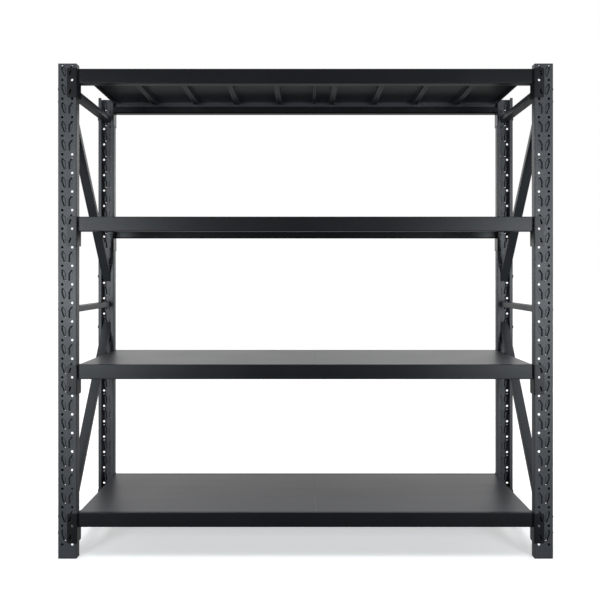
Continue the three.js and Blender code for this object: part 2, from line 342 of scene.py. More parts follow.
def rod(
    name: str, run: Run, span: Point, centre: Point, radius: float, sides: int, rim: float = 0.0
) -> Piece:
    """A round or many-sided rod with its rims cut back.

    Args:
        name: The piece's name.
        run: The axis that it lies along.
        span: Where it starts and ends.
        centre: Its centre, in the section's coordinates.
        radius: Its radius over the corners.
        sides: The number of its sides.
        rim: The width of the chamfer round each end.

    Returns:
        The piece, a closed solid.
    """
    low, high = sorted(span)
    bpy.ops.mesh.primitive_cylinder_add(
        vertices=sides, radius=radius, depth=high - low, location=(*centre, (low + high) / 2)
    )
    piece = bpy.context.object
    piece.name = name
    settle(piece)
    if rim > 0:
        with editing(piece):
            choose(piece, Element.EDGES, lambda edge: abs(edge.verts[0].co.z - edge.verts[1].co.z) < SNAP)
            bpy.ops.mesh.bevel(offset=rim, segments=2, affect="EDGES")
    piece.rotation_euler = run.value
    settle(piece)
    return piece


# Finishes


def remap(tree: Tree, value: Socket, span: Point, result: Point = (0.0, 1.0)) -> Socket:
    """Adds a node that carries a value from one range to another.

    Args:
        tree: The node tree.
        value: The socket with the value.
        span: The range that it comes from.
        result: The range that it goes to.

    Returns:
        The socket with the new value.
    """
    node = tree.nodes.new("ShaderNodeMapRange")
    for name, setting in zip(("From Min", "From Max", "To Min", "To Max"), (*span, *result)):
        node.inputs[name].default_value = setting
    tree.links.new(value, node.inputs["Value"])
    return node.outputs["Result"]


@dataclass(frozen=True)
class Coat:
    """A sprayed or moulded finish: its colour, its gloss, and the grain that it dries or cools with."""

    name: str
    colour: tuple[float, float, float]
    roughness: float
    grain: float
    grain_depth: float
    orange_peel: float
    peel_depth: float
    cloud: float = 0.12
    metallic: float = 0.0
    specular: float = 0.5
    streaks: float = 0.0
    streak_stretch: tuple[float, float, float] = (0.6, 14.0, 1.0)
    drift_span: Point = (0.3, 0.7)

    def material(self) -> bpy.types.Material:
        """Makes the material.

        Returns:
            A material whose colour and gloss drift a little, over a fine grain and a broader ripple.
        """
        made = bpy.data.materials.new(self.name)
        made.use_nodes = True
        tree = made.node_tree
        nodes, links = tree.nodes, tree.links
        shader = nodes["Principled BSDF"]
        shader.inputs["Metallic"].default_value = self.metallic
        shader.inputs["Specular IOR Level"].default_value = self.specular
        place = nodes.new("ShaderNodeTexCoord").outputs["Object"]

        drift = self.noise(tree, place, scale=5.0, detail=5.0)
        shade = nodes.new("ShaderNodeMix")
        shade.data_type = "RGBA"
        shade.inputs["A"].default_value = (*(channel * (1 - self.cloud) for channel in self.colour), 1)
        shade.inputs["B"].default_value = (*(channel * (1 + self.cloud) for channel in self.colour), 1)
        links.new(drift, shade.inputs["Factor"])
        links.new(shade.outputs["Result"], shader.inputs["Base Color"])

        glosses = (self.roughness * (1 - self.cloud / 2), self.roughness * (1 + self.cloud / 2))
        gloss = remap(tree, self.wiped(tree, place, drift), self.drift_span, glosses)
        links.new(gloss, shader.inputs["Roughness"])

        fine = self.noise(tree, place, scale=1 / self.grain, detail=2.0)
        broad = self.noise(tree, place, scale=1 / self.orange_peel, detail=1.0)
        grain = nodes.new("ShaderNodeBump")
        grain.inputs["Distance"].default_value = self.grain_depth
        links.new(fine, grain.inputs["Height"])
        peel = nodes.new("ShaderNodeBump")
        peel.inputs["Distance"].default_value = self.peel_depth
        links.new(broad, peel.inputs["Height"])
        links.new(grain.outputs["Normal"], peel.inputs["Normal"])
        links.new(peel.outputs["Normal"], shader.inputs["Normal"])
        return made

    @staticmethod
    def noise(tree: Tree, place: Socket, scale: float, detail: float) -> Socket:
        """Adds a noise pattern, with this many features in a metre, and returns its value."""
        pattern = tree.nodes.new("ShaderNodeTexNoise")
        pattern.inputs["Scale"].default_value = scale
        pattern.inputs["Detail"].default_value = detail
        tree.links.new(place, pattern.inputs["Vector"])
        return pattern.outputs["Fac"]

    def wiped(self, tree: Tree, place: Socket, drift: Socket) -> Socket:
        """Mixes long wiping streaks along the bay into the gloss, where the finish has them.

        Args:
            tree: The material's node tree.
            place: The coordinates that the pattern is read at.
            drift: The slow drift of the gloss.

        Returns:
            The socket with the mixed value.
        """
        if self.streaks == 0:
            return drift
        stretch = tree.nodes.new("ShaderNodeMapping")
        stretch.inputs["Scale"].default_value = self.streak_stretch
        tree.links.new(place, stretch.inputs["Vector"])
        wipe = self.noise(tree, stretch.outputs["Vector"], scale=3.0, detail=4.0)
        blend = tree.nodes.new("ShaderNodeMix")
        blend.inputs["Factor"].default_value = self.streaks
        tree.links.new(drift, blend.inputs["A"])
        tree.links.new(wipe, blend.inputs["B"])
        return blend.outputs["Result"]


FRAME_COAT = Coat(
    "frame_coat", colour=(0.029, 0.031, 0.035), roughness=0.46,
    grain=1.1 * MM, grain_depth=0.14 * MM, orange_peel=4.5 * MM, peel_depth=0.22 * MM,
    cloud=0.2,
)
BEAM_COAT = Coat(
    "beam_coat", colour=(0.007, 0.0073, 0.0084), roughness=0.34,
    grain=0.9 * MM, grain_depth=0.02 * MM, orange_peel=7 * MM, peel_depth=0.04 * MM,
    specular=0.22,
)
DECK_COAT = Coat(
    "deck_coat", colour=(0.034, 0.035, 0.041), roughness=0.42,
    grain=0.9 * MM, grain_depth=0.02 * MM, orange_peel=8 * MM, peel_depth=0.05 * MM,
    streaks=0.6,
)
FOOT_PLASTIC = Coat(
    "foot_plastic", colour=(0.011, 0.011, 0.012), roughness=0.55,
    grain=0.7 * MM, grain_depth=0.08 * MM, orange_peel=12 * MM, peel_depth=0.05 * MM,
)
BLACK_ZINC = Coat(
    "black_zinc", colour=(0.05, 0.05, 0.054), roughness=0.34,
    grain=1.4 * MM, grain_depth=0.03 * MM, orange_peel=5 * MM, peel_depth=0.03 * MM,
    cloud=0.3, metallic=0.85,
)


@dataclass(frozen=True)
class Finish:
    """A coat with the name of the record's material slot that it belongs to; the name is kept, but no piece
    is given the slot.
    """

    coat: Coat
    slot: str

    def dress(self, piece: Piece, body: str, nodes: Iterable[str]) -> None:
        """Finishes a piece: its shading and coat, the body that it rides on and the nodes that it stands for.

        Args:
            piece: The piece, in its place.
            body: The body that it moves with.
            nodes: The frame's nodes that it replaces.
        """
        pick(piece)
        bpy.ops.object.shade_smooth_by_angle(angle=SMOOTH)
        modify(piece, "WEIGHTED_NORMAL", keep_sharp=True)
        piece.data.materials.clear()
        piece.data.materials.append(bpy.data.materials.get(self.coat.name) or self.coat.material())
        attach(piece, body)
        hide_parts(*nodes)
        LOG.info("%s: %d faces, on %s", piece.name, len(piece.data.polygons), body)


FRAME_PAINT = Finish(FRAME_COAT, "frame_paint")
BEAM_PAINT = Finish(BEAM_COAT, "beam_paint")
DECK_PAINT = Finish(DECK_COAT, "deck_paint")
PLASTIC = Finish(FOOT_PLASTIC, "foot_plastic")
ZINC = Finish(BLACK_ZINC, "fastener")


# Sub-assemblies


@dataclass
class Perforation:
    """The pattern of an upright's web, which repeats at every row.

    An outline's corners are in millimetres, across from the web's centre line and up from the row's holes.
    """

    pitch: float = 75 * MM
    first_row: float = 58 * MM
    rows: int = 26
    column: float = 20 * MM
    hole: float = 5 * MM
    below_row: float = 10 * MM
    slot: Outline = ((5.2, 15), (13.5, 15), (23.5, 42), (22.5, 59), (16.5, 60), (5.2, 43))
    slot_rounding: float = 1.8 * MM
    outer_tab: Outline = ((9.2, 16), (12.7, 16), (22.3, 42.4), (21.6, 58), (20.2, 58.8), (9.2, 43.4))
    inner_tab: Outline = ((9.2, 13), (12.1, 13), (22.3, 42.4), (21.6, 58), (20.2, 58.8), (9.2, 43.4))
    hook_tab: Outline = ((3, 13), (12.1, 13), (22.3, 42.4), (21.6, 58), (20.6, 58.8), (10.8, 45), (3, 41))
    tab_depth: float = 8.4 * MM
    tab_slope: float = 4.2 * MM
    tab_root: float = 1.1 * MM
    tab_steel: float = 1.6 * MM
    rows_between_levels: int = 8
    levels: int = 4
    hook_rows: int = 2
    cut_before: float = 4 * MM
    cut_behind: float = 6 * MM

    def cutters(self, web_x: float, face_y: float) -> list[Piece]:
        """Makes what cuts one row out of a left-hand web: two round holes and two slots.

        Args:
            web_x: The web's centre line.
            face_y: The web's outer face.

        Returns:
            The cutters.
        """
        through = (face_y - self.cut_before, face_y + self.cut_behind)
        made = []
        for column in (-1, 1):
            centre = web_x + column * self.column
            made.append(rod("hole", Run.Y, through, (self.first_row, centre), self.hole, sides=20))
            corners = [(self.first_row + up * MM, web_x + column * across * MM) for across, up in self.slot]
            made.append(slab("slot", Run.Y, through, corners, self.slot_rounding))
        return made

    def tab_at(
        self, outline: Outline, hinges: Sequence[int], web_x: float, face_y: float, column: int
    ) -> Piece:
        """Makes the tab that is pressed in behind one slot and still hangs from one side of it.

        Args:
            outline: The tab's corners, as the slot's are given.
            hinges: The corners, by number, along the side that it hangs from.
            web_x: The web's centre line.
            face_y: The web's outer face.
            column: The sign of X from the web's middle to the slot.

        Returns:
            The tab, behind the first row's slot.
        """
        deep = face_y + self.tab_depth
        scale = column * MM
        corners = [Vector((web_x + scale * across, deep, self.first_row + up * MM)) for across, up in outline]
        piece = flat("tab", corners)
        hinge = [corners[number] for number in hinges]

        def on_hinge(edge: Edge) -> bool:
            """Says whether an edge lies along the hinge."""
            return all(any((vertex.co - corner).length < SNAP for corner in hinge) for vertex in edge.verts)

        with editing(piece):
            choose(piece, Element.EDGES, on_hinge)
            push((-column * self.tab_slope, self.tab_root - self.tab_depth, 0))
        modify(piece, "SOLIDIFY", thickness=self.tab_steel, offset=0, use_even_offset=True)
        face_out(piece)
        return piece

    def tabs(self, web_x: float, face_y: float) -> list[Piece]:
        """Makes a left-hand upright's tabs. Where a beam's hooks go in, the tab hangs only from above them.

        Args:
            web_x: The web's centre line.
            face_y: The web's outer face.

        Returns:
            The outer column's tabs, the inner column's free ones and the ones behind the hooks.
        """
        whole, above = (0, 5, 4), (4, 5)
        outer = self.tab_at(self.outer_tab, whole, web_x, face_y, -1)
        self.stack(outer, self.rows, 1)
        inner = self.tab_at(self.inner_tab, whole, web_x, face_y, 1)
        inner.location.z = self.hook_rows * self.pitch
        settle(inner)
        self.stack(inner, self.rows_between_levels - self.hook_rows, 1)
        self.stack(inner, self.levels - 1, self.rows_between_levels)
        hooked = self.tab_at(self.hook_tab, above, web_x, face_y, 1)
        self.stack(hooked, self.hook_rows, 1)
        self.stack(hooked, self.levels, self.rows_between_levels)
        return [outer, inner, hooked]

    def stack(self, piece: Piece, count: int, rows_apart: int) -> None:
        """Repeats a piece up the upright, a number of rows apart."""
        step = (0, 0, rows_apart * self.pitch)
        repeat(piece, count, step, use_merge_vertices=True, merge_threshold=SNAP)


@dataclass
class Uprights:
    """The four uprights: one is folded, perforated and fitted with its tabs, and the others mirror it."""

    steel: float = 2 * MM
    lip: float = 15 * MM
    bend: float = 3.4 * MM
    edge: float = 0.35 * MM
    pattern: Perforation = field(default_factory=Perforation)

    def build(self) -> dict[str, Piece]:
        """Builds the uprights.

        Returns:
            The pieces by the name of the node that each stands for.
        """
        low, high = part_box("upright_front_left")
        pattern = self.pattern
        start = pattern.first_row - pattern.below_row
        path = [
            (high.x - self.lip, high.y),
            (high.x, high.y),
            (high.x, low.y),
            (low.x, low.y),
            (low.x, high.y),
            (low.x + self.lip, high.y),
        ]
        first = folded("upright", Run.Z, (start, start + pattern.pitch), path, self.steel, self.bend)
        web_x = (low.x + high.x) / 2
        combine(first, pattern.cutters(web_x, low.y), Boolean.CUT)
        self.open_ends(first)
        soften(first, self.edge)
        pattern.stack(first, pattern.rows, 1)
        self.close_end(first, start, low.z)
        self.close_end(first, start + pattern.rows * pattern.pitch, high.z)
        face_out(first)
        join([first, *pattern.tabs(web_x, low.y)])
        return four_corners(first, "upright", "web_and_flanges")

    @staticmethod
    def open_ends(piece: Piece) -> None:
        """Takes away the faces at a piece's lower and upper ends, so that rows join into one wall."""
        with editing(piece):
            choose(piece, Element.FACES, lambda face: Uprights.at_an_end(piece, face))
            bpy.ops.mesh.delete(type="FACE")

    @staticmethod
    def at_an_end(piece: Piece, face: bmesh.types.BMFace) -> bool:
        """Says whether a face closes the lower or upper end of its piece."""
        heights = [corner[2] for corner in piece.bound_box]
        height = face.calc_center_median().z
        distance = min(abs(height - min(heights)), abs(height - max(heights)))
        return abs(face.normal.z) > ALONG and distance < SNAP

    @staticmethod
    def close_end(piece: Piece, level: float, end: float) -> None:
        """Carries an open end on to its full length and closes it.

        Args:
            piece: The piece.
            level: The height of its open edges.
            end: The height that they are carried to.
        """

        def at_level(edge: Edge) -> bool:
            """Says whether an edge is open and lies at the level."""
            return edge.is_boundary and all(abs(vertex.co.z - level) < 5 * SNAP for vertex in edge.verts)

        with editing(piece):
            choose(piece, Element.EDGES, at_level)
            push((0, 0, end - level))
            bpy.ops.mesh.edge_face_add()


@dataclass
class Feet:
    """The plastic feet: a sole with pockets in its underside, and a hollow plug that fits in the upright."""

    sole: float = 4.7 * MM
    wall: float = 2.6 * MM
    corner: float = 3 * MM
    pocket_depth: float = 3 * MM
    pockets: int = 3
    rib: float = 3.5 * MM
    plug_inset: float = 2.3 * MM
    hollow_corner: float = 1 * MM
    pocket_corner: float = 2 * MM
    clear: float = 1 * MM
    edge: float = 0.7 * MM

    def build(self) -> dict[str, Piece]:
        """Builds the feet.

        Returns:
            The pieces by the name of the node that each stands for.
        """
        low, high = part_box("foot_front_left")
        first = slab("foot", Run.Z, (low.z, low.z + self.sole), self.outline(low, high, 0), self.corner)
        plug_outline = self.outline(low, high, self.plug_inset)
        plug = slab("plug", Run.Z, (low.z + self.sole / 2, high.z), plug_outline, self.corner)
        combine(first, [plug], Boolean.WELD)
        hollow = self.outline(low, high, self.plug_inset + self.wall)
        depths = (low.z + self.sole + self.clear, high.z + self.clear)
        cutters = [slab("hollow", Run.Z, depths, hollow, self.hollow_corner)]
        width = (high.x - low.x - self.rib) / self.pockets
        for index in range(self.pockets):
            left = low.x + self.rib + index * width
            corner_low = Vector((left, low.y + self.rib, 0))
            corner_high = Vector((left + width - self.rib, high.y - self.rib, 0))
            outline = self.outline(corner_low, corner_high, 0)
            depths = (low.z - self.clear, low.z + self.pocket_depth)
            cutters.append(slab("pocket", Run.Z, depths, outline, self.pocket_corner))
        combine(first, cutters, Boolean.CUT)
        soften(first, self.edge, segments=2)
        return four_corners(first, "foot", "sole_and_plug")

    @staticmethod
    def outline(low: Vector, high: Vector, inset: float) -> list[Point]:
        """A rectangle between two corners, drawn in by an inset."""
        left, front, right, rear = low.x + inset, low.y + inset, high.x - inset, high.y - inset
        return [(left, front), (right, front), (right, rear), (left, rear)]


@dataclass
class Bars:
    """The side frames' struts and diagonals: rectangular tubes between their two bolts."""

    kinds: tuple[str, ...] = ("strut_top", "diagonal_upper", "strut_middle", "diagonal_lower", "strut_bottom")
    width: float = 40 * MM
    height: float = 25 * MM
    steel: float = 2 * MM
    bend: float = 3.2 * MM
    end_margin: float = 10 * MM
    spare: float = 40 * MM
    edge: float = 0.3 * MM

    def build(self) -> dict[str, Piece]:
        """Builds the bars.

        Returns:
            The pieces by the name of the node that each stands for.
        """
        made = {}
        for number, kind in enumerate(self.kinds, start=1):
            front, rear = (self.bolt(end, number) for end in ENDS)
            low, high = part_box(f"{kind}_left")
            middle = Vector(((low.x + high.x) / 2, (front.y + rear.y) / 2, (front.z + rear.z) / 2))
            left = self.sleeve((rear - front).length + self.spare)
            left.rotation_euler = (math.atan2(rear.z - front.z, rear.y - front.y), 0, 0)
            left.location = middle
            settle(left)
            self.trim(left, front.y - self.end_margin, -1)
            self.trim(left, rear.y + self.end_margin, 1)
            modify(left, "SOLIDIFY", thickness=self.steel, offset=-1, use_even_offset=True)
            face_out(left)
            soften(left, self.edge, angle=60)
            left.name = f"tube_{kind}_left"
            made[f"{kind}_left"] = left
            made[f"{kind}_right"] = copy_of(left, f"tube_{kind}_right", (-1, 1, 1))
        return made

    @staticmethod
    def trim(piece: Piece, level: float, outward: int) -> None:
        """Cuts a bar off upright at a level of Y, and drops the end that lies outward of it."""
        with editing(piece):
            bpy.ops.mesh.select_all(action="SELECT")
            bpy.ops.mesh.bisect(plane_co=(0, level, 0), plane_no=(0, outward, 0), clear_outer=True)

    @staticmethod
    def bolt(end: str, number: int) -> Vector:
        """The centre of a left-hand brace bolt."""
        low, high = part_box(f"brace_bolt_{end}_left_{number}")
        return (low + high) / 2

    def sleeve(self, length: float) -> Piece:
        """Makes a tube's outer skin along Y about the origin.

        Args:
            length: Its length.

        Returns:
            The skin, with round corners and open ends.
        """
        bpy.ops.mesh.primitive_cube_add(size=1, scale=(self.width, length, self.height))
        piece = bpy.context.object
        settle(piece)
        with editing(piece):
            choose(piece, Element.EDGES, lambda edge: edge.calc_length() > length / 2)
            bpy.ops.mesh.bevel(offset=self.bend, segments=4, affect="EDGES")
            choose(piece, Element.FACES, lambda face: abs(face.normal.y) > ALONG)
            bpy.ops.mesh.delete(type="FACE")
        return piece


@dataclass
class BraceBolts:
    """The brace bolts: a flanged hexagon head outside the upright, a spacer inside it, a nut on the tube."""

    per_upright: int = 5
    head: float = 7.5 * MM
    head_height: float = 5.3 * MM
    flange: float = 9.5 * MM
    flange_height: float = 1.4 * MM
    spacer: float = 7 * MM
    shank: float = 4 * MM
    nut_height: float = 6.5 * MM
    collar: float = 5.6 * MM
    collar_height: float = 2 * MM
    tip_height: float = 4 * MM
    rim: float = 0.7 * MM
    soft_rim: float = 0.4 * MM
    gap: float = 0.3 * MM
    turn: float = math.radians(23)

    def build(self) -> dict[str, Piece]:
        """Builds the bolts.

        Returns:
            The pieces by the name of the node that each stands for.
        """
        low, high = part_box("brace_bolt_front_left_1")
        tube_low, tube_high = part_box("strut_top_left")
        flange_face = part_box("upright_front_left")[0].x
        centre = (low + high) / 2
        at = (centre.y, centre.z)
        inner_wall = flange_face + Uprights.steel
        nut_face = tube_high.x + self.gap
        nut_top = nut_face + self.nut_height
        sections = (
            ("head", low.x, low.x + self.head_height, self.head, 6, self.rim),
            ("flange", flange_face - self.flange_height, flange_face, self.flange, 24, self.soft_rim),
            ("spacer", inner_wall, tube_low.x, self.spacer, 20, self.soft_rim),
            ("nut", nut_face, nut_top, self.head, 6, self.rim),
            ("collar", nut_face, nut_top + self.collar_height, self.collar, 20, self.rim),
            ("tip", nut_face, nut_top + self.tip_height, self.shank, 16, self.rim),
        )
        rods = [
            rod(name, Run.X, (start, end), at, radius, sides, rim)
            for name, start, end, radius, sides, rim in sections
        ]
        first = join(rods)
        first.name = "bolt"
        made = {}
        for end in ENDS:
            for side, along_x in SIDES.items():
                for number in range(1, self.per_upright + 1):
                    node = f"brace_bolt_{end}_{side}_{number}"
                    corner_low, corner_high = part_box(node)
                    place = (corner_low + corner_high) / 2
                    move = (0, place.y - centre.y, place.z - centre.z)
                    copy = copy_of(first, f"bolt_and_nut_{end}_{side}_{number}", (-along_x, 1, 1), move)
                    self.tighten(copy, place, number)
                    made[node] = copy
        bpy.data.objects.remove(first)
        return made

    def tighten(self, piece: Piece, place: Vector, number: int) -> None:
        """Turns a bolt about its centre, so that each one's flats stand where its tightening stopped."""
        with editing(piece):
            bpy.ops.mesh.select_all(action="SELECT")
            bpy.ops.transform.rotate(value=self.turn * number, orient_axis="X", center_override=tuple(place))


@dataclass
class Beams:
    """The step beams, each with a folded, hooked connector welded to either end."""

    setback: float = 12 * MM
    height: float = 60 * MM
    depth: float = 38 * MM
    lip: float = 14 * MM
    ledge_drop: float = 28 * MM
    steel: float = 2 * MM
    seam: float = 3 * MM
    bend: float = 3 * MM
    plate: float = 2.5 * MM
    plate_fold: float = 40.3 * MM
    plate_bend: float = 4 * MM
    plate_corner: float = 7 * MM
    plate_below_top: float = 0.5 * MM
    plate_past_beam: float = 1 * MM
    window_half: float = 3.3 * MM
    window_lean: float = 5.5 * MM
    window_foot: float = 0.5 * MM
    window_head: float = 22.7 * MM
    window_corner: float = 1.5 * MM
    cut_before: float = 2 * MM
    cut_behind: float = 4 * MM
    gap: float = 0.3 * MM
    edge: float = 0.35 * MM
    hook_rows: tuple[int, int] = (1, 0)
    hook_centre: float = 9.3 * MM
    hook_width: float = 5 * MM
    hook_steel: float = 2.4 * MM
    hook_reach: float = 2.4 * MM
    hook_corner: float = 0.6 * MM
    tongue: float = 11 * MM
    bead: float = 1.5 * MM
    beads_apart: float = 1.95 * MM
    beads_clear: float = 4 * MM
    pattern: Perforation = field(default_factory=Perforation)

    def build(self) -> dict[str, Piece]:
        """Builds the beams.

        Returns:
            The pieces by the name of the node that each stands for.
        """
        low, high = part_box("beam_front_1")
        upright_low, upright_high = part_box("upright_front_left")
        face = upright_low.y + self.setback
        top = high.z
        inner = upright_high.x + self.gap + self.plate
        first = self.section(face, top, inner)
        left = self.connector(upright_low, upright_high, low, top)
        left = join([left, *self.beads(face, top, inner)])
        right = copy_of(left, "connector_right", (-1, 1, 1))
        join([first, left, right])
        first.name = "step_beam_front_1"
        made = {"beam_front_1": first}
        for level in LEVELS:
            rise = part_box(f"beam_front_{level}")[1].z - high.z
            if level > 1:
                made[f"beam_front_{level}"] = copy_of(first, f"step_beam_front_{level}", move=(0, 0, rise))
            made[f"beam_rear_{level}"] = copy_of(first, f"step_beam_rear_{level}", (-1, -1, 1), (0, 0, rise))
        return made

    def section(self, face: float, top: float, inner: float) -> Piece:
        """Rolls the beam itself.

        Args:
            face: Y of its front face.
            top: Z of its top.
            inner: X of its left end.

        Returns:
            The beam, with its lip, its ledge for the decks and the open seam of its rear wall.
        """
        corners = [
            (self.depth, -self.height),
            (0, -self.height),
            (0, 0),
            (self.lip, 0),
            (self.lip, -self.ledge_drop),
            (self.depth, -self.ledge_drop),
            (self.depth, -self.height + self.steel + self.seam),
        ]
        path = [(face + inward, top + up) for inward, up in corners]
        piece = folded("step_beam", Run.X, (inner, -inner), path, self.steel, self.bend)
        soften(piece, self.edge, angle=60)
        return piece

    def connector(self, upright_low: Vector, upright_high: Vector, beam_low: Vector, top: float) -> Piece:
        """Folds a left-hand connector, cuts its windows and sight hole, and fits its two hooks.

        Args:
            upright_low: The upright's lowest corner.
            upright_high: The upright's highest corner.
            beam_low: The beam's lowest corner, its connectors included.
            top: Z of the beam's top.

        Returns:
            The connector.
        """
        web_x = (upright_low.x + upright_high.x) / 2
        front = beam_low.y
        fold = web_x + self.plate_fold
        rear = upright_low.y + self.setback + self.depth + self.plate_past_beam
        high = top - self.plate_below_top
        path = [(fold, rear), (fold, front), (web_x, front)]
        piece = folded("connector", Run.Z, (beam_low.z, high), path, self.plate, self.plate_bend)
        self.trim_corners(piece, web_x, rear)
        pattern = self.pattern
        through = (front - self.cut_before, front + self.cut_behind)
        sight = (pattern.first_row + pattern.pitch, web_x + pattern.column)
        cutters = [rod("sight", Run.Y, through, sight, pattern.hole, sides=20)]
        hooks = []
        for row in self.hook_rows:
            bearing = pattern.first_row + row * pattern.pitch + pattern.slot[0][1] * MM + self.gap
            neck = bearing + self.hook_steel
            window = self.window(web_x, neck, bearing)
            cutters.append(slab("window", Run.Y, through, window, self.window_corner))
            hooks.append(self.hook(web_x, upright_low.y, bearing, neck))
        combine(piece, cutters, Boolean.CUT)
        soften(piece, self.edge)
        return join([piece, *hooks])

    def trim_corners(self, piece: Piece, web_x: float, rear: float) -> None:
        """Cuts back the four corners at a connector's free edges.

        Args:
            piece: The connector.
            web_x: X of the front leg's free edge.
            rear: Y of the side leg's free edge.
        """

        def at_free_corner(edge: Edge) -> bool:
            """Says whether an edge crosses the steel at a free corner."""
            near, far = (vertex.co for vertex in edge.verts)
            short = abs((near - far).length - self.plate) < SNAP and abs(near.z - far.z) < SNAP
            on_front = abs(near.x - web_x) < SNAP and abs(far.x - web_x) < SNAP
            on_side = abs(near.y - rear) < SNAP and abs(far.y - rear) < SNAP
            return short and (on_front or on_side)

        with editing(piece):
            choose(piece, Element.EDGES, at_free_corner)
            bpy.ops.mesh.bevel(offset=self.plate_corner, segments=2, affect="EDGES")

    def window(self, web_x: float, neck: float, bearing: float) -> list[Point]:
        """A connector's window above a hook, as (Z, X) corners: it leans towards the bay."""
        half = self.window_half
        low_centre = web_x + self.hook_centre
        high_centre = low_centre + self.window_lean
        foot, head = neck + self.window_foot, bearing + self.window_head
        return [
            (foot, low_centre - half),
            (foot, low_centre + half),
            (head, high_centre + half),
            (head, high_centre - half),
        ]

    def hook(self, web_x: float, web_face: float, bearing: float, neck: float) -> Piece:
        """Presses a hook: a neck through the slot and a tongue down behind the web.

        Args:
            web_x: The web's centre line.
            web_face: Y of the web's outer face.
            bearing: The height that it rests at.
            neck: The height of its neck's top.

        Returns:
            The hook.
        """
        near = web_face + self.hook_reach
        far = near + self.hook_steel
        start = web_face - self.gap - self.plate / 2
        profile = [
            (start, bearing),
            (near, bearing),
            (near, bearing - self.tongue),
            (far, bearing - self.tongue),
            (far, neck),
            (start, neck),
        ]
        centre = web_x + self.hook_centre
        span = (centre - self.hook_width / 2, centre + self.hook_width / 2)
        piece = slab("hook", Run.X, span, profile, self.hook_corner)
        soften(piece, self.edge)
        return piece

    def beads(self, face: float, top: float, inner: float) -> list[Piece]:
        """Lays the weld beads that join the beam's left end to its connector, at the front and underneath.

        Args:
            face: Y of the beam's front face.
            top: Z of its top.
            inner: X of its left end.

        Returns:
            The beads.
        """
        step, clear = self.beads_apart, self.beads_clear
        low = top - self.height
        runs = [
            ((inner, face, low + clear), (0, 0, step), self.height - 2 * clear),
            ((inner, face + clear, low), (0, step, 0), self.depth - 2 * clear),
        ]
        made = []
        for start, offset, length in runs:
            bpy.ops.mesh.primitive_uv_sphere_add(segments=10, ring_count=6, radius=self.bead, location=start)
            piece = bpy.context.object
            settle(piece)
            repeat(piece, int(length / step), offset)
            made.append(piece)
        return made


@dataclass
class Decks:
    """The deck panels: a steel plate with turned-down edges and four hat ribs welded across its underside."""

    steel: float = 1.6 * MM
    bend: float = 2.6 * MM
    rib_centres: tuple[float, ...] = (126 * MM, 329 * MM, 525 * MM, 724 * MM)
    rib_width: float = 25 * MM
    rib_drop: float = 18 * MM
    rib_land: float = 7 * MM
    groove: float = 5 * MM
    groove_rise: float = 4 * MM
    rib_end: float = 248 * MM
    hem_drop: float = 14 * MM
    hem_return: float = 7 * MM
    edge: float = 0.3 * MM

    def build(self) -> dict[str, Piece]:
        """Builds the decks.

        Returns:
            The pieces by the name of the node that each stands for.
        """
        made = {}
        for side, along_x in SIDES.items():
            first = self.panel(side, along_x)
            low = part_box(f"deck_{side}_1")[0].z
            made[f"deck_{side}_1"] = first
            for level in LEVELS[1:]:
                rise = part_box(f"deck_{side}_{level}")[0].z - low
                made[f"deck_{side}_{level}"] = copy_of(first, f"panel_{side}_{level}", move=(0, 0, rise))
        return made

    def panel(self, side: str, along_x: int) -> Piece:
        """Folds the bottom level's panel on one side.

        Args:
            side: left or right.
            along_x: That side's sign of X.

        Returns:
            The panel with its ribs and the hems of its two ends.
        """
        low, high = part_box(f"deck_{side}_1")
        path = [(low.y, low.z), (low.y, high.z), (high.y, high.z), (high.y, low.z)]
        skin = folded(f"panel_{side}_1", Run.X, (low.x, high.x), path, self.steel, self.bend)
        soften(skin, self.edge, angle=60)
        under = high.z - self.steel
        ribs = [self.rib(along_x * centre, under) for centre in self.rib_centres]
        hems = [self.hem(end, inward, under) for end, inward in ((low.x, 1), (high.x, -1))]
        return join([skin, *ribs, *hems])

    def rib(self, centre: float, under: float) -> Piece:
        """Folds one hat rib, with its lands against the panel's underside and a groove along its floor.

        Args:
            centre: X of its middle.
            under: Z of the underside.

        Returns:
            The rib.
        """
        wall = self.rib_width / 2
        land = wall + self.rib_land
        shelf, floor = under - self.steel, under - self.rib_drop
        path = [
            (shelf, centre - land),
            (shelf, centre - wall),
            (floor, centre - wall),
            (floor, centre - self.groove),
            (floor + self.groove_rise, centre),
            (floor, centre + self.groove),
            (floor, centre + wall),
            (shelf, centre + wall),
            (shelf, centre + land),
        ]
        piece = folded("rib", Run.Y, (-self.rib_end, self.rib_end), path, self.steel, self.bend)
        soften(piece, self.edge, angle=60)
        return piece

    def hem(self, end: float, inward: int, under: float) -> Piece:
        """Folds the hem at one end of a panel.

        Args:
            end: X of that end.
            inward: The sign of X from there into the panel.
            under: Z of the panel's underside.

        Returns:
            The hem.
        """
        floor = under - self.hem_drop
        path = [(floor, end + inward * self.hem_return), (floor, end), (under, end)]
        if inward > 0:
            path.reverse()
        piece = folded("hem", Run.Y, (-self.rib_end, self.rib_end), path, self.steel, self.bend)
        soften(piece, self.edge, angle=60)
        return piece


@dataclass(frozen=True)
class Lamp:
    """A soft box: where it hangs, the point that it faces, its size and its power in watts."""

    name: str
    place: tuple[float, float, float]
    aim: tuple[float, float, float]
    size: Point
    power: float
    colour: tuple[float, float, float] = (0.88, 0.95, 1.0)

    def hang(self) -> None:
        """Hangs the soft box."""
        bpy.ops.object.light_add(type="AREA", location=self.place)
        lamp = bpy.context.object
        lamp.name = self.name
        lamp.data.shape = "RECTANGLE"
        lamp.data.size, lamp.data.size_y = self.size
        lamp.data.energy = self.power
        lamp.data.color = self.colour
        lamp.visible_camera = False
        lamp.rotation_euler = (Vector(self.aim) - Vector(self.place)).to_track_quat("-Z", "Y").to_euler()


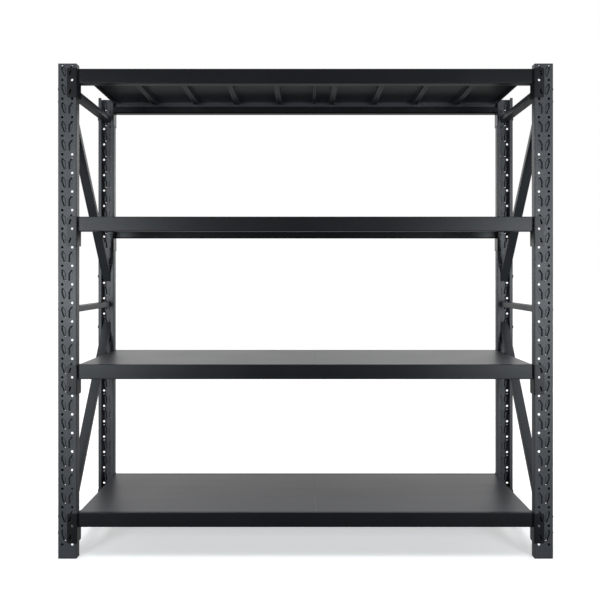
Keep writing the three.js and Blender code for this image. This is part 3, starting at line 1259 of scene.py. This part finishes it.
@dataclass
class Studio:
    """The floor, the light and the camera."""

    floor_size: float = 400.0
    floor_grey: float = 0.8
    floor_glow: float = 0.45
    eye_height: float = 1.145
    eye_distance: float = 2.88
    lens: float = 42.8
    shift: Point = (-0.0093, -0.0413)
    room_ends: Point = (0.03, 0.55)
    room_bands: Outline = ((0.25, 0.1), (0.34, 0.42), (0.49, 0.42), (0.53, 1.95), (0.58, 1.8), (0.64, 0.85))
    front_light: float = 0.012
    front_span: Point = (-0.1, 0.5)
    upper_span: Point = (0.14, 0.27)
    middle_span: Point = (0.0, 0.2)
    middle_light: Point = (0.5, 1.1)
    sun_height: float = 5.0
    sun_power: float = 1.6
    sun_angle: float = math.radians(36)
    lamps: tuple[Lamp, ...] = (
        Lamp("soft_box_left", (-2.5, -4.2, 1.12), (0, 0, 1.1), (1.3, 2.1), 128),
        Lamp("soft_box_right", (2.5, -4.2, 1.12), (0, 0, 1.1), (1.3, 2.1), 128),
        Lamp("ceiling", (0, -1.0, 4.0), (0, 0, 0), (3.2, 2.4), 50),
    )

    def build(self) -> None:
        """Sets up the studio."""
        self.floor()
        self.world()
        self.lights()
        self.camera()

    def floor(self) -> None:
        """Lays a plain pale floor."""
        bpy.ops.mesh.primitive_plane_add(size=self.floor_size)
        floor = bpy.context.object
        floor.name = "floor"
        paint = bpy.data.materials.new("floor_paint")
        paint.use_nodes = True
        shader = paint.node_tree.nodes["Principled BSDF"]
        shader.inputs["Base Color"].default_value = (self.floor_grey, self.floor_grey, self.floor_grey, 1)
        shader.inputs["Roughness"].default_value = 0.9
        shader.inputs["Specular IOR Level"].default_value = 0.0
        shader.inputs["Emission Color"].default_value = (1, 1, 1, 1)
        shader.inputs["Emission Strength"].default_value = self.floor_glow
        floor.data.materials.append(paint)
        floor.visible_diffuse = floor.visible_glossy = False

    def world(self) -> None:
        """Makes a white room that lights the bay from behind in bands, and hardly from in front."""
        world = bpy.data.worlds.new("room")
        scene = bpy.context.scene
        scene.world = world
        scene.view_settings.view_transform = "Standard"
        world.use_nodes = True
        tree = world.node_tree
        nodes, links = tree.nodes, tree.links
        light = nodes["Background"]
        light.inputs["Color"].default_value = (1, 1, 1, 1)
        place = nodes.new("ShaderNodeTexCoord")
        axes = nodes.new("ShaderNodeSeparateXYZ")
        links.new(place.outputs["Generated"], axes.inputs["Vector"])
        behind = remap(tree, axes.outputs["Y"], self.front_span, (self.front_light, 1.0))
        bands = nodes.new("ShaderNodeValToRGB")
        for element, strength in zip(bands.color_ramp.elements, self.room_ends):
            element.color = (strength, strength, strength, 1)
        for level, strength in self.room_bands:
            bands.color_ramp.elements.new(level).color = (strength, strength, strength, 1)
        links.new(remap(tree, axes.outputs["Z"], (-1.0, 1.0)), bands.inputs["Fac"])
        across = self.worked_out(tree, "ABSOLUTE", axes.outputs["X"])
        wall = nodes.new("ShaderNodeMix")
        wall.inputs["A"].default_value = 1.0
        links.new(remap(tree, axes.outputs["Z"], self.upper_span), wall.inputs["Factor"])
        links.new(remap(tree, across, self.middle_span, self.middle_light), wall.inputs["B"])
        spread = self.worked_out(tree, "MULTIPLY", wall.outputs["Result"], bands.outputs["Color"])
        seen = nodes.new("ShaderNodeMix")
        seen.inputs["B"].default_value = 1.0
        links.new(nodes.new("ShaderNodeLightPath").outputs["Is Camera Ray"], seen.inputs["Factor"])
        links.new(self.worked_out(tree, "MULTIPLY", behind, spread), seen.inputs["A"])
        links.new(seen.outputs["Result"], light.inputs["Strength"])

    @staticmethod
    def worked_out(tree: Tree, operation: str, *values: Socket) -> Socket:
        """Adds a node that works out one value from others, and returns its result."""
        node = tree.nodes.new("ShaderNodeMath")
        node.operation = operation
        for value, socket in zip(values, node.inputs):
            tree.links.new(value, socket)
        return node.outputs["Value"]

    def lights(self) -> None:
        """Hangs the soft boxes, and a broad sun overhead."""
        for lamp in self.lamps:
            lamp.hang()
        bpy.ops.object.light_add(type="SUN", location=(0, 0, self.sun_height))
        sun = bpy.context.object
        sun.name = "overhead"
        sun.data.energy = self.sun_power
        sun.data.angle = self.sun_angle

    def camera(self) -> None:
        """Stands the camera level in front of the bay."""
        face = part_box("upright_front_left")[0].y
        place = (0, face - self.eye_distance, self.eye_height)
        bpy.ops.object.camera_add(location=place, rotation=(math.pi / 2, 0, 0))
        camera = bpy.context.object
        camera.data.lens = self.lens
        camera.data.shift_x, camera.data.shift_y = self.shift
        bpy.context.scene.camera = camera


def main() -> None:
    """Builds and dresses the bay, then its studio."""
    logging.basicConfig(level=logging.INFO, format="%(name)s: %(message)s")
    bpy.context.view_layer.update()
    bodies = {node: body for body, nodes in frame["record"]["behaviour"]["bodies"].items() for node in nodes}
    assemblies = (
        (Uprights(), FRAME_PAINT),
        (Feet(), PLASTIC),
        (Bars(), FRAME_PAINT),
        (BraceBolts(), ZINC),
        (Beams(), BEAM_PAINT),
        (Decks(), DECK_PAINT),
    )
    for assembly, finish in assemblies:
        for node, piece in assembly.build().items():
            finish.dress(piece, bodies[node], [node])
    Studio().build()


if __name__ == "__main__":
    main()
